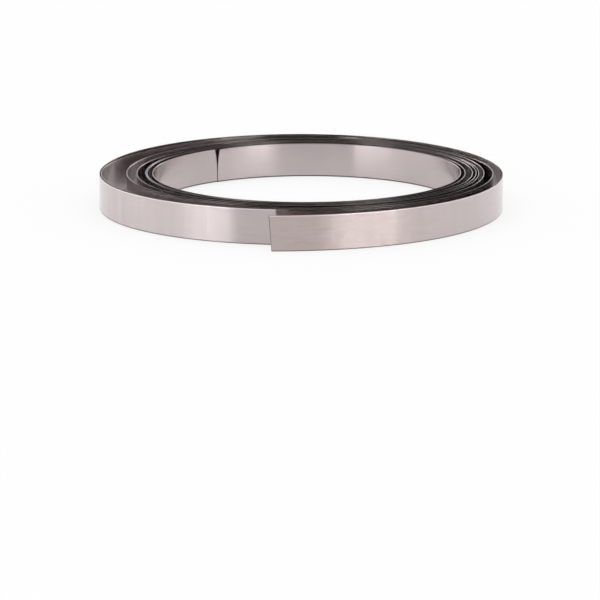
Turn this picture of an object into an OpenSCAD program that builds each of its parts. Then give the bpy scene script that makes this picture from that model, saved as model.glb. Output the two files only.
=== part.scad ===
// Loose flat coil of thin nickel-plated steel strip, lying on the strip's edge.
// The strip is one continuous piece. It winds outwards from its inner end in true arcs that
// run into each other without a kink, and its outer end springs clear of the coil at the front.
// Right is +X, back is +Y, up is +Z, and the origin is on the bore's axis at the floor.

/* [Strip] */
// Width of the strip, which is the height of the coil
strip_width = 8; // [4:0.5:15]
// Thickness of the strip
strip_thickness = 0.15; // [0.1:0.01:0.3]

/* [Coil] */
// Clear diameter inside the innermost turn
bore_d = 71.2; // [50:0.2:120]
// Direction of the inner end, counted from the right of the bore towards the back
inner_end_angle = 127; // [95:0.5:140]
// Least clear gap between the inner end and the turn behind it
inner_clear = 0.04; // [0.02:0.02:1]
// Clear gap to the next turn at the right of the coil, from the bore outwards
right_gaps = [1.55, 0.7, 0.45, 1.05, 1.9, 2.1]; // [0.3:0.05:6]
// Clear gap to the next turn at the left of the coil, from the bore outwards
left_gaps = [0.7, 0.65, 2.05, 2.05, 5.7, 0.3]; // [0.3:0.05:6]
// How far each turn lies further back than the turn inside it, from the bore outwards
back_drifts = [0.4, 0.2, 0, 0.5, 0, 0.2]; // [0:0.1:0.7]

/* [Free end] */
// How far the radius of the free end exceeds that of the outermost turn
tip_spring = 6; // [0:0.05:20]
// Sweep of the free end, from the right of the coil round to its cut end at the front
tip_sweep = 91; // [30:1:110]

/* [Hidden] */
$fn = 240;

bore_r = bore_d / 2;

// The first step outwards is rounded up, so that the arcs keep short decimal sizes
step_round = 0.05;
inner_step_least = (strip_thickness + inner_clear) / (1 + cos(inner_end_angle));
inner_step = ceil(inner_step_least / step_round) * step_round;

// Least growth at the right and left, which keeps neighbouring turns apart at the front
least_step = (strip_thickness + inner_clear) / 2;
// Growth in radius at the right, front and left of one turn, which sets its gaps and drift
function turn_steps(i) = [
    max(least_step, (strip_thickness + left_gaps[i] - back_drifts[i]) / 2),
    back_drifts[i],
    max(least_step, (strip_thickness + right_gaps[i] - back_drifts[i]) / 2)
];

// Every growth along the strip, from the bore outwards: left first, then right, front and left
// in each turn, and the free end last, at the right
steps = [
    inner_step,
    for (i = [0 : len(right_gaps) - 1]) each turn_steps(i),
    tip_spring
];
last = len(steps) - 1;

// As the radius grows at one side, the centre moves away from that side by the same amount
MOVES = [[1, 0], [-1, 0], [0, 1]];
// Start and sweep of the arc that follows a growth at the left, right and front
SPANS = [[0, 180], [270, 90], [180, 90]];
moves = [for (i = [0 : last]) steps[i] * MOVES[i % 3]];

// Sum of a list's entries up to the one numbered end
function total(list, end) = end == 0 ? list[0] : list[end] + total(list, end - 1);

// One arc of strip on edge, with its inner face at the given radius
module bend(centre, inner_r, start, sweep) {
    translate([centre.x, centre.y, 0])
        rotate_extrude(angle = sweep, start = start)
            translate([inner_r, 0])
                square([strip_thickness, strip_width]);
}

module strip() {
    color("#cabebd") {
        bend([0, 0], bore_r, 180, 180 + inner_end_angle);
        for (i = [0 : last - 1])
            bend(total(moves, i), bore_r + total(steps, i), SPANS[i % 3][0], SPANS[i % 3][1]);
        bend(total(moves, last), bore_r + total(steps, last), 360 - tip_sweep, tip_sweep);
    }
}

strip();
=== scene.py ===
"""Looks of a loose flat coil of nickel-plated steel strip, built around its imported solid.

The coil is one strip, swept by Geometry Nodes along a chain of arcs with the solid's own sizes.
A loose coil never lies quite round, so the path then relaxes by a millimetre or two.
"""

import logging
import math
from dataclasses import dataclass, field
from enum import Enum
from typing import Any, Iterator

import bpy
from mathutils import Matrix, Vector


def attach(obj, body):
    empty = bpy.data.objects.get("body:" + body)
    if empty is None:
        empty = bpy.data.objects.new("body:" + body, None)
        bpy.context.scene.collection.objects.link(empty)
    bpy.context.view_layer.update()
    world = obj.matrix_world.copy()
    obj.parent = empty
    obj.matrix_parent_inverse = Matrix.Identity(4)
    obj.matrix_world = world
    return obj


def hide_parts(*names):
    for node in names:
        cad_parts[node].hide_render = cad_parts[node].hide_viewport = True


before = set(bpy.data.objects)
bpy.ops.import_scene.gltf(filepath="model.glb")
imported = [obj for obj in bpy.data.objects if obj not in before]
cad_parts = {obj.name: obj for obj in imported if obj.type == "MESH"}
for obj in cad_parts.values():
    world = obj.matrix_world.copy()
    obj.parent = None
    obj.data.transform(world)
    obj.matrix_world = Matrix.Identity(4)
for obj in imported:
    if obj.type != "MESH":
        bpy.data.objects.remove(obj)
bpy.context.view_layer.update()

LOG = logging.getLogger("strip_coil")
MM = 0.001
QUARTER_TURN = 0.25
LAY_MAP = "strip_lay"
OUTER_FACE = "outer_face"
CURL = "curl"


def linear(hex_colour: str) -> tuple[float, float, float, float]:
    """Turns an sRGB hex colour into linear RGBA.

    Args:
        hex_colour: The colour as "#rrggbb".

    Returns:
        Red, green, blue and alpha for a colour socket.
    """
    shares = [int(hex_colour[i : i + 2], 16) / 255 for i in (1, 3, 5)]
    red, green, blue = [s / 12.92 if s <= 0.04045 else ((s + 0.055) / 1.055) ** 2.4 for s in shares]
    return red, green, blue, 1.0


def add_node(
    tree: bpy.types.NodeTree, kind: str, inputs: dict[str | int, Any] | None = None, **settings: Any
) -> bpy.types.Node:
    """Adds a node with its settings and links.

    Inputs that share a name go by number. A Mix node takes its share at 0, floats at 2 and 3 and
    colours at 6 and 7. A Map Range node takes values from 1 to 2 and gives values from 3 to 4.

    Args:
        tree: The node tree that gets the node.
        kind: The node's type name.
        inputs: A value, or another node's output, for each input by name or number.
        settings: Properties of the node itself.

    Returns:
        The new node.
    """
    node = tree.nodes.new(kind)
    for name, value in settings.items():
        setattr(node, name, value)
    for socket, value in (inputs or {}).items():
        if isinstance(value, bpy.types.NodeSocket):
            tree.links.new(value, node.inputs[socket])
        else:
            node.inputs[socket].default_value = value
    return node


def link_mesh(name: str, mesh: bpy.types.Mesh) -> bpy.types.Object:
    """Puts a mesh into the scene as an object at the origin.

    Args:
        name: The object's name.
        mesh: The mesh, already in place.

    Returns:
        The object.
    """
    piece = bpy.data.objects.new(name, mesh)
    bpy.context.scene.collection.objects.link(piece)
    return piece


class Growth(Enum):
    """Side where the strip's radius grows: the way its centre moves, and the arc that follows."""

    LEFT = ((1, 0), (0, 180))
    RIGHT = ((-1, 0), (270, 90))
    FRONT = ((0, 1), (180, 90))

    @property
    def move(self) -> Vector:
        """Direction in which the centre moves."""
        return Vector(self.value[0])

    @property
    def span(self) -> tuple[int, int]:
        """Start and sweep of the arc that follows, in degrees."""
        return self.value[1]


@dataclass(frozen=True)
class Bend:
    """One arc of the strip's centreline, in millimetres and degrees."""

    centre: Vector
    radius: float
    start: float
    sweep: float

    def at(self, share: float) -> Vector:
        """Finds the point that lies a share of the way along, as the strip runs outwards."""
        angle = math.radians(self.start + self.sweep * (1 - share))
        return self.centre + self.radius * Vector((math.cos(angle), math.sin(angle)))

    def points(self, spacing: float) -> Iterator[Vector]:
        """Walks the arc outwards along the strip, which is clockwise from above.

        Args:
            spacing: The longest distance between neighbouring points.

        Returns:
            The points after the arc's first one.
        """
        count = math.ceil(self.radius * math.radians(self.sweep) / spacing)
        for i in range(1, count + 1):
            yield self.at(i / count)


@dataclass(frozen=True)
class Nudge:
    """A stretch of one turn that lies closer to the bore, or further out where depth is negative.

    It lies on one arc and may run on into the next: degrees, and millimetres of radius.
    """

    bend: int
    angle: float
    reach: float
    depth: float

    def at(self, bend: int, angle: float) -> float:
        """Works out how far the turn is pushed in.

        Args:
            bend: The number of an arc, from the inner end.
            angle: A place on that arc.

        Returns:
            The move towards the bore.
        """
        if bend - self.bend not in (0, 1):
            return 0.0
        apart = abs((angle - self.angle + 180) % 360 - 180)
        share = min(apart / self.reach, 1.0)
        return self.depth * math.cos(share * math.pi / 2) ** 2


@dataclass(frozen=True)
class Slack:
    """How a loose coil relaxes, in millimetres.

    The inner turns lie oval one way and the outer ones the other, with three lobes as well. The
    free end is drawn in, and the inner end's upper corner curls inwards. The curl grows with the
    height, to the power of end_rise.
    """

    inner_oval: float = 0.25
    outer_oval: float = -0.28
    outer_lobes: float = -0.58
    inner_radius: float = 35.7
    outer_radius: float = 46.7
    tip_pull: float = 0.3
    end_curl: float = 0.85
    end_length: float = 12.0
    end_rise: float = 3.3
    nudges: tuple[Nudge, ...] = (
        Nudge(3, 180.0, 70.0, -0.5),
        Nudge(9, 180.0, 50.0, 0.19),
        Nudge(10, 40.0, 36.0, 0.35),
        Nudge(10, 125.0, 52.0, 0.9),
        Nudge(16, 48.0, 44.0, 1.6),
        Nudge(16, 140.0, 40.0, 1.4),
    )

    def relax(self, point: Vector, bend: int) -> Vector:
        """Moves a point of the centreline to where the loose turn lies.

        Args:
            point: A point on the chain of arcs.
            bend: The number of the point's arc, from the inner end.

        Returns:
            The moved point.
        """
        radius = point.length
        angle = math.atan2(point.y, point.x)
        depth = (radius - self.inner_radius) / (self.outer_radius - self.inner_radius)
        outer = min(max(depth, 0.0), 1.0)
        inner_move = self.inner_oval * math.sin(2 * angle)
        outer_move = self.outer_oval * math.sin(2 * angle) + self.outer_lobes * math.sin(3 * angle)
        move = (1 - outer) * inner_move + outer * outer_move
        move -= sum(nudge.at(bend, math.degrees(angle)) for nudge in self.nudges)
        return point * ((radius + move) / radius)


@dataclass
class StripCoil:
    """The strip itself, wound into its loose coil: sizes in millimetres, as the solid has them."""

    width: float = 8.0
    thickness: float = 0.15
    bore_radius: float = 35.6
    inner_end_angle: float = 127.0
    inner_step: float = 0.5
    right_gaps: tuple[float, ...] = (1.55, 0.7, 0.45, 1.05, 1.9, 2.1)
    left_gaps: tuple[float, ...] = (0.7, 0.65, 2.05, 2.05, 5.7, 0.3)
    back_drifts: tuple[float, ...] = (0.4, 0.2, 0.0, 0.5, 0.0, 0.2)
    tip_spring: float = 6.0
    tip_sweep: float = 91.0
    # Only the scene has the slanted cut, the rounded slit edges and the slack
    cut_slant: float = 4.4
    cut_reach: float = 0.01
    edge_radius: float = 0.05
    edge_steps: int = 2
    side_cuts: int = 3
    corner_share: float = 0.9
    sharp_angle: float = 20.0
    ring_spacing: float = 1.2
    slack: Slack = field(default_factory=Slack)

    def growths(self) -> Iterator[tuple[Growth, float]]:
        """Lists each growth in radius along the strip, from the bore outwards.

        Returns:
            The side of each growth and its size.
        """
        yield Growth.LEFT, self.inner_step
        for right, left, drift in zip(self.right_gaps, self.left_gaps, self.back_drifts):
            yield Growth.RIGHT, (self.thickness + left - drift) / 2
            yield Growth.FRONT, drift
            yield Growth.LEFT, (self.thickness + right - drift) / 2

    def bends(self) -> list[Bend]:
        """Works out the chain of arcs from the inner end to the free end.

        Returns:
            The arcs in order along the strip.
        """
        centre = Vector((0.0, 0.0))
        radius = self.bore_radius + self.thickness / 2
        chain = [Bend(centre, radius, 180, 180 + self.inner_end_angle)]
        for side, step in self.growths():
            centre = centre + step * side.move
            radius += step
            chain.append(Bend(centre, radius, *side.span))
        centre = centre + self.tip_spring * Growth.RIGHT.move
        radius += self.tip_spring
        chain.append(Bend(centre, radius, 360 - self.tip_sweep, self.tip_sweep))
        return chain

    def path(self) -> list[Vector]:
        """Lays the relaxed centreline, as seen from above.

        Returns:
            The points from the inner end to the free end.
        """
        *turns, tip = self.bends()
        points = [self.slack.relax(turns[0].at(0), 0)]
        for number, bend in enumerate(turns):
            points += [self.slack.relax(p, number) for p in bend.points(self.ring_spacing)]
        tip_points = list(tip.points(self.ring_spacing))
        for i, point in enumerate(tip_points, 1):
            pull = self.slack.tip_pull * i / len(tip_points)
            points.append(self.slack.relax(point * (1 - pull / point.length), len(turns)))
        return points

    def curls(self, points: list[Vector]) -> Iterator[float]:
        """Works out how far the upper edge curls inwards along the strip.

        Args:
            points: The relaxed centreline, from the inner end.

        Returns:
            The curl at each point.
        """
        distance = 0.0
        for i, point in enumerate(points):
            if i:
                distance += (point - points[i - 1]).length
            yield self.slack.end_curl * max(0.0, 1 - distance / self.slack.end_length) ** 2

    def path_curve(
        self, tree: bpy.types.NodeTree, given: bpy.types.NodeOutputs
    ) -> bpy.types.Node:
        """Turns the path into a curve that sets the strip on edge.

        Args:
            tree: The sweep's node tree.
            given: The tree's inputs.

        Returns:
            The node with the curve and, for each point, the distance to the free end, the way
            along, the way inwards and the curl.
        """
        curve = add_node(tree, "GeometryNodeMeshToCurve", {"Mesh": given["Path"]})
        upright = add_node(
            tree, "GeometryNodeSetCurveNormal", {"Curve": curve.outputs["Curve"]}, mode="Z_UP"
        )
        whole = add_node(tree, "GeometryNodeSplineLength")
        walked = add_node(tree, "GeometryNodeSplineParameter")
        ahead = add_node(
            tree,
            "ShaderNodeMath",
            {0: whole.outputs["Length"], 1: walked.outputs["Length"]},
            operation="SUBTRACT",
        )
        heading = add_node(tree, "GeometryNodeInputTangent")
        inward = add_node(tree, "GeometryNodeInputNormal")
        curl = add_node(tree, "GeometryNodeInputNamedAttribute", {"Name": CURL}, data_type="FLOAT")
        measured = add_node(
            tree, "GeometryNodeCaptureAttribute", {"Geometry": upright.outputs["Curve"]}
        )
        for kind, name, source in (
            ("FLOAT", "Along", ahead.outputs["Value"]),
            ("VECTOR", "Heading", heading.outputs["Tangent"]),
            ("VECTOR", "Inward", inward.outputs["Normal"]),
            ("FLOAT", "Curl", curl.outputs["Attribute"]),
        ):
            measured.capture_items.new(kind, name)
            tree.links.new(source, measured.inputs[name])
        return measured

    def section(self, tree: bpy.types.NodeTree, given: bpy.types.NodeOutputs) -> bpy.types.Node:
        """Draws the strip's section, with its slit edges rounded.

        Args:
            tree: The sweep's node tree.
            given: The tree's inputs.

        Returns:
            The node with the outline and each point's place on it. X is inwards and Y is down.
        """
        outline = add_node(
            tree,
            "GeometryNodeCurvePrimitiveQuadrilateral",
            {"Width": given["Thickness"], "Height": given["Width"]},
        )
        rounded = add_node(
            tree,
            "GeometryNodeFilletCurve",
            {
                "Curve": outline.outputs["Curve"],
                "Count": given["Edge Steps"],
                "Radius": given["Edge Radius"],
                "Limit Radius": True,
            },
            mode="POLY",
        )
        # Only the long sides are cut up, so that they can bend. Each starts at a point where
        # X times Y is below zero and nearly a corner's, which is a quarter of the section's area.
        place = add_node(tree, "GeometryNodeInputPosition")
        spot = add_node(tree, "ShaderNodeSeparateXYZ", {"Vector": place.outputs["Position"]})
        spot_area = add_node(
            tree,
            "ShaderNodeMath",
            {0: spot.outputs["X"], 1: spot.outputs["Y"]},
            operation="MULTIPLY",
        )
        whole_area = add_node(
            tree, "ShaderNodeMath", {0: given["Width"], 1: given["Thickness"]}, operation="MULTIPLY"
        )
        nearly_corner = add_node(
            tree,
            "ShaderNodeMath",
            {0: whole_area.outputs["Value"], 1: -self.corner_share / 4},
            operation="MULTIPLY",
        )
        long_side = add_node(
            tree,
            "FunctionNodeCompare",
            {0: spot_area.outputs["Value"], 1: nearly_corner.outputs["Value"]},
            data_type="FLOAT",
            operation="LESS_THAN",
        )
        cuts = add_node(
            tree,
            "ShaderNodeMath",
            {0: long_side.outputs["Result"], 1: given["Side Cuts"]},
            operation="MULTIPLY",
        )
        divided = add_node(
            tree,
            "GeometryNodeSubdivideCurve",
            {"Curve": rounded.outputs["Curve"], "Cuts": cuts.outputs["Value"]},
        )
        marked = add_node(
            tree, "GeometryNodeCaptureAttribute", {"Geometry": divided.outputs["Curve"]}
        )
        marked.capture_items.new("VECTOR", "Section")
        tree.links.new(place.outputs["Position"], marked.inputs["Section"])
        return marked

    def map_faces(
        self,
        tree: bpy.types.NodeTree,
        strip: bpy.types.NodeSocket,
        path: bpy.types.Node,
        parts: bpy.types.Node,
    ) -> bpy.types.NodeSocket:
        """Gives the strip its lay map, and marks its outer face.

        Args:
            tree: The sweep's node tree.
            strip: The swept strip.
            path: The node with the path's measures.
            parts: The node with each point's place on the section.

        Returns:
            The mapped strip.
        """
        # The lay map runs from the free end and across, and half the depth keeps the edges apart
        across = add_node(
            tree,
            "ShaderNodeMath",
            {0: parts.outputs["X"], 1: 0.5, 2: parts.outputs["Y"]},
            operation="MULTIPLY_ADD",
        )
        lay = add_node(
            tree,
            "ShaderNodeCombineXYZ",
            {"X": path.outputs["Along"], "Y": across.outputs["Value"]},
        )
        mapped = add_node(
            tree,
            "GeometryNodeStoreNamedAttribute",
            {"Geometry": strip, "Name": LAY_MAP, "Value": lay.outputs["Vector"]},
            data_type="FLOAT2",
            domain="CORNER",
        )
        outward = add_node(
            tree,
            "FunctionNodeCompare",
            {0: parts.outputs["X"], 1: 0.0},
            data_type="FLOAT",
            operation="LESS_THAN",
        )
        sided = add_node(
            tree,
            "GeometryNodeStoreNamedAttribute",
            {
                "Geometry": mapped.outputs["Geometry"],
                "Name": OUTER_FACE,
                "Value": outward.outputs["Result"],
            },
            data_type="FLOAT",
            domain="POINT",
        )
        return sided.outputs["Geometry"]

    def shape_ends(
        self,
        tree: bpy.types.NodeTree,
        given: bpy.types.NodeOutputs,
        strip: bpy.types.NodeSocket,
        path: bpy.types.Node,
        parts: bpy.types.Node,
    ) -> bpy.types.NodeSocket:
        """Slants the free end's cut, and curls the inner end.

        Args:
            tree: The sweep's node tree.
            given: The tree's inputs.
            strip: The swept strip.
            path: The node with the path's measures.
            parts: The node with each point's place on the section.

        Returns:
            The strip with both ends shaped.
        """
        # The free end is cut a little out of square: its upper corner stands further out
        at_cut = add_node(
            tree,
            "FunctionNodeCompare",
            {0: path.outputs["Along"], 1: self.cut_reach * MM},
            data_type="FLOAT",
            operation="LESS_THAN",
        )
        outwards = add_node(
            tree,
            "ShaderNodeMath",
            {0: parts.outputs["Y"], 1: given["Cut Slant"]},
            operation="MULTIPLY",
        )
        shift = add_node(
            tree,
            "ShaderNodeVectorMath",
            {0: path.outputs["Heading"], "Scale": outwards.outputs["Value"]},
            operation="SCALE",
        )
        cut = add_node(
            tree,
            "GeometryNodeSetPosition",
            {
                "Geometry": strip,
                "Selection": at_cut.outputs["Result"],
                "Offset": shift.outputs["Vector"],
            },
        )
        # The inner end curls off the turn behind it, most of all at its upper corner
        down = add_node(
            tree, "ShaderNodeMath", {0: parts.outputs["Y"], 1: given["Width"]}, operation="DIVIDE"
        )
        height = add_node(
            tree, "ShaderNodeMath", {0: 0.5, 1: down.outputs["Value"]}, operation="SUBTRACT"
        )
        rise = add_node(
            tree,
            "ShaderNodeMath",
            {0: height.outputs["Value"], 1: given["End Rise"]},
            operation="POWER",
        )
        inwards = add_node(
            tree,
            "ShaderNodeMath",
            {0: rise.outputs["Value"], 1: path.outputs["Curl"]},
            operation="MULTIPLY",
        )
        pull = add_node(
            tree,
            "ShaderNodeVectorMath",
            {0: path.outputs["Inward"], "Scale": inwards.outputs["Value"]},
            operation="SCALE",
        )
        curled = add_node(
            tree,
            "GeometryNodeSetPosition",
            {"Geometry": cut.outputs["Geometry"], "Offset": pull.outputs["Vector"]},
        )
        return curled.outputs["Geometry"]

    def sweep_tree(self) -> tuple[bpy.types.NodeTree, dict[str, str]]:
        """Builds the node tree that sweeps the strip's section along its path.

        Returns:
            The tree, and the identifier of each of its inputs by name.
        """
        tree = bpy.data.node_groups.new("strip_sweep", "GeometryNodeTree")
        sockets = tree.interface
        sockets.new_socket("Path", in_out="INPUT", socket_type="NodeSocketGeometry")
        kinds = {
            "Width": "NodeSocketFloat",
            "Thickness": "NodeSocketFloat",
            "Edge Radius": "NodeSocketFloat",
            "Edge Steps": "NodeSocketInt",
            "Side Cuts": "NodeSocketInt",
            "Cut Slant": "NodeSocketFloat",
            "End Rise": "NodeSocketFloat",
            "Finish": "NodeSocketMaterial",
        }
        names = {
            name: sockets.new_socket(name, in_out="INPUT", socket_type=kind).identifier
            for name, kind in kinds.items()
        }
        sockets.new_socket("Strip", in_out="OUTPUT", socket_type="NodeSocketGeometry")

        given = add_node(tree, "NodeGroupInput").outputs
        path = self.path_curve(tree, given)
        section = self.section(tree, given)
        swept = add_node(
            tree,
            "GeometryNodeCurveToMesh",
            {
                "Curve": path.outputs["Geometry"],
                "Profile Curve": section.outputs["Geometry"],
                "Fill Caps": True,
            },
        )
        parts = add_node(tree, "ShaderNodeSeparateXYZ", {"Vector": section.outputs["Section"]})
        mapped = self.map_faces(tree, swept.outputs["Mesh"], path, parts)
        shaped = self.shape_ends(tree, given, mapped, path, parts)
        corner = add_node(tree, "GeometryNodeInputMeshEdgeAngle")
        sharp = add_node(
            tree,
            "FunctionNodeCompare",
            {0: corner.outputs["Unsigned Angle"], 1: math.radians(self.sharp_angle)},
            data_type="FLOAT",
            operation="GREATER_THAN",
        )
        shaded = add_node(
            tree,
            "GeometryNodeSetShadeSmooth",
            {"Geometry": shaped, "Selection": sharp.outputs["Result"], "Shade Smooth": False},
            domain="EDGE",
        )
        real = add_node(
            tree, "GeometryNodeRealizeInstances", {"Geometry": shaded.outputs["Geometry"]}
        )
        dressed = add_node(
            tree,
            "GeometryNodeSetMaterial",
            {"Geometry": real.outputs["Geometry"], "Material": given["Finish"]},
        )
        add_node(tree, "NodeGroupOutput", {"Strip": dressed.outputs["Geometry"]})
        return tree, names

    def build(self, finish: bpy.types.Material) -> bpy.types.Object:
        """Sweeps the strip along its path and makes it a plain mesh.

        Args:
            finish: The strip's material.

        Returns:
            The strip, in place.
        """
        points = self.path()
        middle = [Vector((p.x, p.y, self.width / 2)) * MM for p in points]
        curls = [curl * MM for curl in self.curls(points)]
        line = bpy.data.meshes.new("strip_path")
        line.from_pydata(middle, [(i, i + 1) for i in range(len(middle) - 1)], [])
        line.attributes.new(CURL, "FLOAT", "POINT").data.foreach_set("value", curls)
        tree, names = self.sweep_tree()
        guide = link_mesh("strip_path", line)
        sweep = guide.modifiers.new("sweep", "NODES")
        sweep.node_group = tree
        sweep[names["Width"]] = self.width * MM
        sweep[names["Thickness"]] = self.thickness * MM
        sweep[names["Edge Radius"]] = self.edge_radius * MM
        sweep[names["Edge Steps"]] = self.edge_steps
        sweep[names["Side Cuts"]] = self.side_cuts
        sweep[names["Cut Slant"]] = -math.tan(math.radians(self.cut_slant))
        sweep[names["End Rise"]] = self.slack.end_rise
        sweep[names["Finish"]] = finish
        depsgraph = bpy.context.evaluated_depsgraph_get()
        mesh = bpy.data.meshes.new_from_object(
            guide.evaluated_get(depsgraph), preserve_all_data_layers=True, depsgraph=depsgraph
        )
        mesh.name = "nickel_strip"
        guide.modifiers.remove(sweep)
        bpy.data.objects.remove(guide)
        bpy.data.meshes.remove(line)
        return link_mesh("nickel_strip", mesh)


@dataclass(frozen=True)
class NickelPlate:
    """Bright satin nickel plate on cold-rolled steel strip: sizes in millimetres.

    The rolls leave fine lines along the strip, which spread each reflection across it into an
    upright band and keep the band's sides crisp. Nickel gives the grey its warm, faintly mauve
    tone, and handling leaves faint brownish smudges. The slit edges are bare, duller steel. Dark
    painted shade lines the lower edge, the free end's cut and, between the turns, the outer face
    below its upper edge; along the top of the outermost turn that line is a painted highlight.
    """

    colour: str = "#c3b8b8"
    shade_range: float = 0.07
    roughness: float = 0.19
    roughness_range: float = 0.018
    anisotropy: float = 0.96
    # Values that a cloudy pattern mostly keeps between
    cloud_low: float = 0.3
    cloud_high: float = 0.7
    # Rolling lines are a few hundredths of a millimetre apart, and are drawn coarser to show
    line_length: float = 8.0
    line_pitch: float = 0.45
    line_depth: float = 0.0005
    streak_length: float = 2.6
    streak_height: float = 30.0
    # Distances of the edge, the painted shadow on the lower edge and the painted line below the
    # upper edge are from the middle of the strip's width
    edge_colour: str = "#b4aaa9"
    edge_roughness: float = 0.5
    edge_from: float = 3.955
    edge_full: float = 3.985
    # Painted shade: the dark colour of the lower edge, the free end's cut and the line between the
    # turns
    painted_shade_colour: str = "#564e4d"
    foot_shade_from: float = 3.76
    foot_shade_full: float = 3.84
    # Painted highlight: the light colour of the line along the outermost turn's top
    painted_highlight_colour: str = "#e2d6d6"
    rim_line_from: float = 3.74
    rim_line_full: float = 3.8
    # Distances of the painted highlight's length, the painted shadow at the cut and the smudges are
    # from the free end
    highlight_to: float = 300.0
    cut_shade_from: float = 0.14
    cut_shade_full: float = 0.06
    held_to: float = 45.0
    held_full: float = 22.5
    smudge_colour: str = "#b7a39a"
    smudge_length: float = 3.0
    smudge_height: float = 1.5
    smudge_detail: float = 4.0
    smudge_from: float = 0.42
    smudge_full: float = 0.8
    smudge_least: float = 0.22
    smudge_most: float = 0.55

    def pattern(
        self,
        tree: bpy.types.NodeTree,
        lay: bpy.types.NodeSocket,
        length: float,
        height: float,
        detail: float = 2.0,
    ) -> bpy.types.NodeSocket:
        """Lays a cloudy pattern on the strip's own map.

        Args:
            tree: The material's node tree.
            lay: The strip's own map.
            length: The size of a cloud along the strip.
            height: The size of a cloud across it.
            detail: How much finer structure each cloud has.

        Returns:
            The pattern's value, about 0.5 on average.
        """
        sized = add_node(
            tree,
            "ShaderNodeMapping",
            {"Vector": lay, "Scale": (1 / (length * MM), 1 / (height * MM), 1.0)},
        )
        clouds = add_node(
            tree,
            "ShaderNodeTexNoise",
            {"Vector": sized.outputs["Vector"], "Scale": 1.0, "Detail": detail},
            noise_dimensions="2D",
        )
        return clouds.outputs["Fac"]

    def edge_masks(
        self, tree: bpy.types.NodeTree, along: bpy.types.NodeSocket, across: bpy.types.NodeSocket
    ) -> tuple[bpy.types.NodeSocket, bpy.types.NodeSocket]:
        """Finds the slit edges, and the painted shadow along the lower edge and at the free end's
        cut.

        Args:
            tree: The material's node tree.
            along: The distance from the free end.
            across: The distance below the middle of the strip's width.

        Returns:
            1 on both edges and 0 on the faces, and 1 on the painted shadow.
        """
        off_centre = add_node(tree, "ShaderNodeMath", {0: across}, operation="ABSOLUTE")
        edges = add_node(
            tree,
            "ShaderNodeMapRange",
            {"Value": off_centre.outputs["Value"], 1: self.edge_from * MM, 2: self.edge_full * MM},
        )
        # Painted contact shadow along the lower edge, which stands on the floor
        painted_shade = add_node(
            tree,
            "ShaderNodeMapRange",
            {"Value": across, 1: self.foot_shade_from * MM, 2: self.foot_shade_full * MM},
        )
        # Painted shadow along the free end's cut, which stands off the turn behind
        cut = add_node(
            tree,
            "ShaderNodeMapRange",
            {"Value": along, 1: self.cut_shade_from * MM, 2: self.cut_shade_full * MM},
        )
        shade_lines = add_node(
            tree,
            "ShaderNodeMath",
            {0: painted_shade.outputs["Result"], 1: cut.outputs["Result"]},
            operation="MAXIMUM",
        )
        return edges.outputs["Result"], shade_lines.outputs["Value"]

    def upper_line(
        self, tree: bpy.types.NodeTree, along: bpy.types.NodeSocket, across: bpy.types.NodeSocket
    ) -> tuple[bpy.types.NodeSocket, bpy.types.NodeSocket]:
        """Finds the line below the outer face's upper edge: a painted highlight on the outermost
        turn, painted shade on the turns within it.

        Args:
            tree: The material's node tree.
            along: The distance from the free end.
            across: The distance below the middle of the strip's width.

        Returns:
            1 on the line's painted highlight, and 1 on its painted shade.
        """
        outer = add_node(tree, "ShaderNodeAttribute", attribute_name=OUTER_FACE)
        line = add_node(
            tree,
            "ShaderNodeMapRange",
            {"Value": across, 1: -self.rim_line_from * MM, 2: -self.rim_line_full * MM},
        )
        reached = add_node(
            tree, "ShaderNodeMath", {0: along, 1: self.highlight_to * MM}, operation="LESS_THAN"
        )
        outer_line = add_node(
            tree,
            "ShaderNodeMath",
            {0: line.outputs["Result"], 1: outer.outputs["Fac"]},
            operation="MULTIPLY",
        )
        # The line is a painted highlight along the outermost turn
        rim_highlight = add_node(
            tree,
            "ShaderNodeMath",
            {0: outer_line.outputs["Value"], 1: reached.outputs["Value"]},
            operation="MULTIPLY",
        )
        # Painted shade on the line of the turns within the outermost, which lie down in the gaps
        gap_shade = add_node(
            tree,
            "ShaderNodeMath",
            {0: outer_line.outputs["Value"], 1: rim_highlight.outputs["Value"]},
            operation="SUBTRACT",
        )
        return rim_highlight.outputs["Value"], gap_shade.outputs["Value"]

    def smudge_mask(
        self, tree: bpy.types.NodeTree, lay: bpy.types.NodeSocket, along: bpy.types.NodeSocket
    ) -> bpy.types.NodeSocket:
        """Scatters faint smudges near the free end, where the strip is held.

        Args:
            tree: The material's node tree.
            lay: The strip's own map.
            along: The distance from the free end.

        Returns:
            The share of smudge, from 0 to well under 1.
        """
        held = add_node(
            tree,
            "ShaderNodeMapRange",
            {"Value": along, 1: self.held_to * MM, 2: self.held_full * MM},
        )
        spots = add_node(
            tree,
            "ShaderNodeMapRange",
            {
                "Value": self.pattern(
                    tree, lay, self.smudge_length, self.smudge_height, self.smudge_detail
                ),
                1: self.smudge_from,
                2: self.smudge_full,
                3: self.smudge_least,
                4: self.smudge_most,
            },
        )
        both = add_node(
            tree,
            "ShaderNodeMath",
            {0: held.outputs["Result"], 1: spots.outputs["Result"]},
            operation="MULTIPLY",
        )
        return both.outputs["Value"]

    def material(self) -> bpy.types.Material:
        """Builds the plate's node material.

        Returns:
            The material.
        """
        made = bpy.data.materials.new("satin_nickel_plate")
        made.use_nodes = True
        tree = made.node_tree
        tree.nodes.clear()
        lay_map = add_node(tree, "ShaderNodeUVMap", uv_map=LAY_MAP)
        lay = lay_map.outputs["UV"]
        place = add_node(tree, "ShaderNodeSeparateXYZ", {"Vector": lay})
        along, across = place.outputs["X"], place.outputs["Y"]
        lines = self.pattern(tree, lay, self.line_length, self.line_pitch)
        streaks = self.pattern(tree, lay, self.streak_length, self.streak_height)
        edges, painted_shade = self.edge_masks(tree, along, across)
        rim_highlight, upper_shade = self.upper_line(tree, along, across)
        smudges = self.smudge_mask(tree, lay, along)

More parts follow.
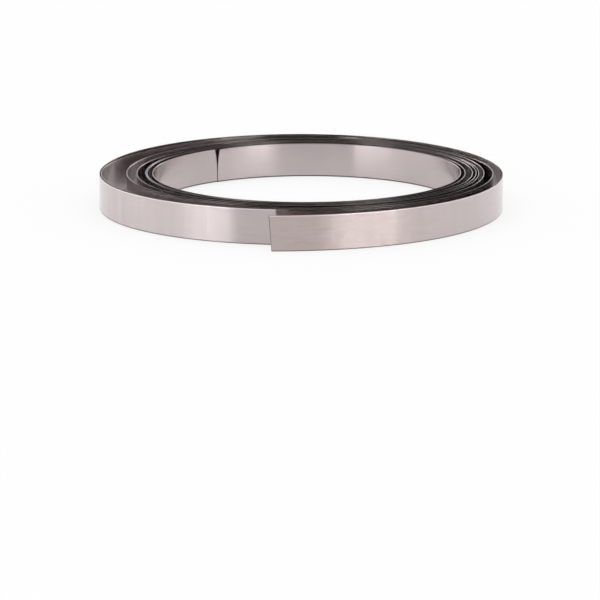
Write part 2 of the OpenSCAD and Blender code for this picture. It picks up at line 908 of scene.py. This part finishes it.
        shades = add_node(tree, "ShaderNodeMath", {0: lines, 1: streaks}, operation="ADD")
        shade = add_node(
            tree,
            "ShaderNodeMapRange",
            {
                "Value": shades.outputs["Value"],
                1: 2 * self.cloud_low,
                2: 2 * self.cloud_high,
                3: 1 - self.shade_range / 2,
                4: 1 + self.shade_range / 2,
            },
        )
        tone = add_node(
            tree,
            "ShaderNodeMix",
            {0: smudges, 6: linear(self.colour), 7: linear(self.smudge_colour)},
            data_type="RGBA",
        )
        shaded = add_node(
            tree,
            "ShaderNodeVectorMath",
            {0: tone.outputs[2], "Scale": shade.outputs["Result"]},
            operation="SCALE",
        )
        colour = shaded.outputs["Vector"]
        # Over the plate go a painted highlight on the outermost turn's top, painted shade below the
        # upper edge of the inner turns, the bare slit edges, and painted shadow along the lower
        # edge and the cut
        for mask, over in (
            (rim_highlight, self.painted_highlight_colour),
            (upper_shade, self.painted_shade_colour),
            (edges, self.edge_colour),
            (painted_shade, self.painted_shade_colour),
        ):
            layer = add_node(
                tree, "ShaderNodeMix", {0: mask, 6: colour, 7: linear(over)}, data_type="RGBA"
            )
            colour = layer.outputs[2]
        satin = add_node(
            tree,
            "ShaderNodeMapRange",
            {
                "Value": streaks,
                1: self.cloud_low,
                2: self.cloud_high,
                3: self.roughness - self.roughness_range / 2,
                4: self.roughness + self.roughness_range / 2,
            },
        )
        rough = add_node(
            tree,
            "ShaderNodeMix",
            {0: edges, 2: satin.outputs["Result"], 3: self.edge_roughness},
            data_type="FLOAT",
        )
        relief = add_node(
            tree,
            "ShaderNodeBump",
            {"Height": lines, "Distance": self.line_depth * MM, "Strength": 1.0},
        )
        tangent = add_node(tree, "ShaderNodeTangent", direction_type="UV_MAP", uv_map=LAY_MAP)
        plate = add_node(
            tree,
            "ShaderNodeBsdfPrincipled",
            {
                "Base Color": colour,
                "Metallic": 1.0,
                "Roughness": rough.outputs["Result"],
                "Anisotropic": self.anisotropy,
                "Anisotropic Rotation": QUARTER_TURN,
                "Tangent": tangent.outputs["Tangent"],
                "Normal": relief.outputs["Normal"],
            },
        )
        add_node(tree, "ShaderNodeOutputMaterial", {"Surface": plate.outputs["BSDF"]})
        return made


@dataclass
class Studio:
    """White floor and a soft studio surround, dark on the camera's side and above its low walls.

    Lengths are in millimetres and angles in degrees, and a brightness of 1 is plain white.
    """

    floor_radius: float = 4000.0
    floor_corners: int = 64
    floor_clear: float = 0.02
    floor_colour: str = "#f8f8f8"
    floor_glow: float = 0.8
    glow_from: float = 0.15
    glow_full: float = 0.5
    shade_reach: float = 30.0
    shade_samples: int = 8
    fill: float = 1.02
    overhead: float = 0.9
    overhead_fades: float = 50.0
    overhead_from: float = 60.0
    dark_side: float = 0.05
    softbox: float = 7.3
    left_wall: float = 5.0
    left_gap: float = 3.6
    right_wall: float = 2.1
    far_walls: float = 4.2
    back_wall: float = 1.8
    ceiling: float = 0.02
    backdrop: float = 1.0
    backdrop_to: float = 22.0
    backdrop_fades: float = 34.0
    walls_to: float = 8.0
    walls_fade: float = 11.0

    def walls(self) -> list[tuple[float, float]]:
        """Lists the brightness round the surround.

        Returns:
            Pairs of degrees from the camera's side, to the right, and brightness.
        """
        return [
            (-180, self.back_wall),
            (-160, self.back_wall),
            (-150, self.far_walls),
            (-120, self.left_wall),
            (-100, self.left_wall),
            (-84, self.left_gap),
            (-68, self.left_gap),
            (-58, self.softbox),
            (-39, self.softbox),
            (-32, self.dark_side),
            (20, self.dark_side),
            (33, self.softbox),
            (54, self.softbox),
            (66, self.right_wall),
            (112, self.right_wall),
            (150, self.far_walls),
            (160, self.back_wall),
            (180, self.back_wall),
        ]

    def sight_rays(
        self, tree: bpy.types.NodeTree
    ) -> tuple[bpy.types.NodeSocket, bpy.types.NodeSocket]:
        """Tells the rays that show a surface from those that only light it.

        Args:
            tree: A node tree of the floor or the world.

        Returns:
            1 for a ray straight from the camera, and 1 for a reflected one.
        """
        rays = add_node(tree, "ShaderNodeLightPath")
        straight = add_node(
            tree,
            "ShaderNodeMath",
            {0: rays.outputs["Is Camera Ray"], 1: rays.outputs["Is Transmission Ray"]},
            operation="MAXIMUM",
        )
        return straight.outputs["Value"], rays.outputs["Is Glossy Ray"]

    def wall_light(self, tree: bpy.types.NodeTree, parts: bpy.types.Node) -> bpy.types.NodeSocket:
        """Lays the walls' brightness round the surround.

        Args:
            tree: The world's node tree.
            parts: The node with the parts of a ray's direction.

        Returns:
            The brightness in the ray's direction.
        """
        toward = add_node(
            tree, "ShaderNodeMath", {0: parts.outputs["Y"], 1: -1.0}, operation="MULTIPLY"
        )
        turn = add_node(
            tree,
            "ShaderNodeMath",
            {0: parts.outputs["X"], 1: toward.outputs["Value"]},
            operation="ARCTAN2",
        )
        share = add_node(
            tree, "ShaderNodeMapRange", {"Value": turn.outputs["Value"], 1: -math.pi, 2: math.pi}
        )
        ramp = add_node(tree, "ShaderNodeValToRGB", {"Fac": share.outputs["Result"]})
        stops = ramp.color_ramp.elements
        brightest = max(level for _, level in self.walls())
        for degrees, level in self.walls():
            at = degrees / 360 + 0.5
            stop = stops[0] if at == 0 else stops[-1] if at == 1 else stops.new(at)
            stop.color = (level / brightest,) * 3 + (1.0,)
        walls = add_node(
            tree, "ShaderNodeMath", {0: ramp.outputs["Color"], 1: brightest}, operation="MULTIPLY"
        )
        return walls.outputs["Value"]

    def surround(self) -> None:
        """Builds the world: softboxes, walls and ceiling as light, plain white for the camera."""
        world = bpy.data.worlds.new("studio")
        world.use_nodes = True
        world.cycles.sampling_method = "NONE"
        tree = world.node_tree
        tree.nodes.clear()
        bpy.context.scene.world = world
        place = add_node(tree, "ShaderNodeTexCoord")
        parts = add_node(tree, "ShaderNodeSeparateXYZ", {"Vector": place.outputs["Generated"]})
        above = add_node(
            tree,
            "ShaderNodeMapRange",
            {
                "Value": parts.outputs["Z"],
                1: math.sin(math.radians(self.walls_to)),
                2: math.sin(math.radians(self.walls_fade)),
            },
            interpolation_type="SMOOTHSTEP",
        )
        behind = add_node(
            tree,
            "ShaderNodeMapRange",
            {
                "Value": parts.outputs["Y"],
                1: math.cos(math.radians(self.backdrop_fades)),
                2: math.cos(math.radians(self.backdrop_to)),
                3: self.ceiling,
                4: self.backdrop,
            },
            interpolation_type="SMOOTHSTEP",
        )
        sides = add_node(
            tree,
            "ShaderNodeMix",
            {
                0: above.outputs["Result"],
                2: self.wall_light(tree, parts),
                3: behind.outputs["Result"],
            },
            data_type="FLOAT",
        )
        overhead = add_node(
            tree,
            "ShaderNodeMapRange",
            {
                "Value": parts.outputs["Z"],
                1: math.sin(math.radians(self.overhead_fades)),
                2: math.sin(math.radians(self.overhead_from)),
            },
            interpolation_type="SMOOTHSTEP",
        )
        reflected = add_node(
            tree,
            "ShaderNodeMix",
            {0: overhead.outputs["Result"], 2: sides.outputs["Result"], 3: self.overhead},
            data_type="FLOAT",
        )
        straight, glossy = self.sight_rays(tree)
        lit = add_node(
            tree,
            "ShaderNodeMix",
            {0: glossy, 2: self.fill, 3: reflected.outputs["Result"]},
            data_type="FLOAT",
        )
        strength = add_node(
            tree,
            "ShaderNodeMix",
            {0: straight, 2: lit.outputs["Result"], 3: 1.0},
            data_type="FLOAT",
        )
        shown = add_node(
            tree,
            "ShaderNodeBackground",
            {"Color": (1.0, 1.0, 1.0, 1.0), "Strength": strength.outputs["Result"]},
        )
        add_node(tree, "ShaderNodeOutputWorld", {"Surface": shown.outputs["Background"]})

    def floor_paint(self) -> bpy.types.Material:
        """Builds the floor's node material.

        Returns:
            The material.
        """
        # Matt white paint under even light: a plain white with soft shade close to the strip
        paint = bpy.data.materials.new("matt_white_floor")
        paint.use_nodes = True
        tree = paint.node_tree
        tree.nodes.clear()
        matt = add_node(tree, "ShaderNodeBsdfDiffuse", {"Color": linear(self.floor_colour)})
        glow = add_node(tree, "ShaderNodeEmission", {"Strength": 1.0})
        straight, glossy = self.sight_rays(tree)
        seen = add_node(tree, "ShaderNodeMath", {0: straight, 1: glossy}, operation="MAXIMUM")
        # The glow is left out between the turns, where the floor lies in shade
        openness = add_node(
            tree,
            "ShaderNodeAmbientOcclusion",
            {"Distance": self.shade_reach * MM},
            samples=self.shade_samples,
        )
        open_share = add_node(
            tree,
            "ShaderNodeMapRange",
            {
                "Value": openness.outputs["AO"],
                1: self.glow_from,
                2: self.glow_full,
                4: self.floor_glow,
            },
        )
        share = add_node(
            tree,
            "ShaderNodeMath",
            {0: seen.outputs["Value"], 1: open_share.outputs["Result"]},
            operation="MULTIPLY",
        )
        mixed = add_node(
            tree,
            "ShaderNodeMixShader",
            {0: share.outputs["Value"], 1: matt.outputs["BSDF"], 2: glow.outputs["Emission"]},
        )
        add_node(tree, "ShaderNodeOutputMaterial", {"Surface": mixed.outputs["Shader"]})
        return paint

    def floor(self) -> bpy.types.Object:
        """Lays the floor as one wide disc, just clear of the strip's lower edge.

        Returns:
            The floor.
        """
        radius = self.floor_radius * MM
        turns = [math.tau * i / self.floor_corners for i in range(self.floor_corners)]
        rim = [(radius * math.cos(t), radius * math.sin(t), -self.floor_clear * MM) for t in turns]
        mesh = bpy.data.meshes.new("floor")
        mesh.from_pydata(rim, [], [range(self.floor_corners)])
        mesh.materials.append(self.floor_paint())
        return link_mesh("floor", mesh)


@dataclass(frozen=True)
class PhotoCamera:
    """Camera at the photograph's viewing angle, in millimetres, degrees and its pixels."""

    distance: float = 800.0
    elevation: float = 11.2
    aim_x: float = -1.59
    aim_height: float = 4.0
    aim_pixel_y: float = 188.4
    frame_pixels: float = 600.0
    focal_pixels: float = 3444.0
    sensor: float = 36.0

    def place(self) -> bpy.types.Object:
        """Makes the scene's camera.

        Returns:
            The camera.
        """
        rise = math.radians(self.elevation)
        aim_offset = self.frame_pixels / 2 - self.aim_pixel_y
        tilt = rise + math.atan(aim_offset / self.focal_pixels)
        data = bpy.data.cameras.new("photo_camera")
        data.sensor_width = self.sensor
        data.lens = self.focal_pixels / self.frame_pixels * self.sensor
        camera = bpy.data.objects.new("photo_camera", data)
        camera.location = (
            self.aim_x * MM,
            -self.distance * math.cos(rise) * MM,
            (self.aim_height + self.distance * math.sin(rise)) * MM,
        )
        camera.rotation_euler = (math.pi / 2 - tilt, 0, 0)
        bpy.context.scene.collection.objects.link(camera)
        bpy.context.scene.camera = camera
        return camera


def main() -> None:
    """Builds the strip and its studio in order, and reports each piece."""
    logging.basicConfig(level=logging.INFO, format="%(name)s: %(message)s")
    bpy.context.scene.view_settings.view_transform = "Standard"
    PhotoCamera().place()
    studio = Studio()
    studio.surround()
    studio.floor()
    strip = StripCoil().build(NickelPlate().material())
    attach(strip, "root")
    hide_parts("strip")
    LOG.info("%s: %d faces", strip.name, len(strip.data.polygons))


if __name__ == "__main__":
    main()
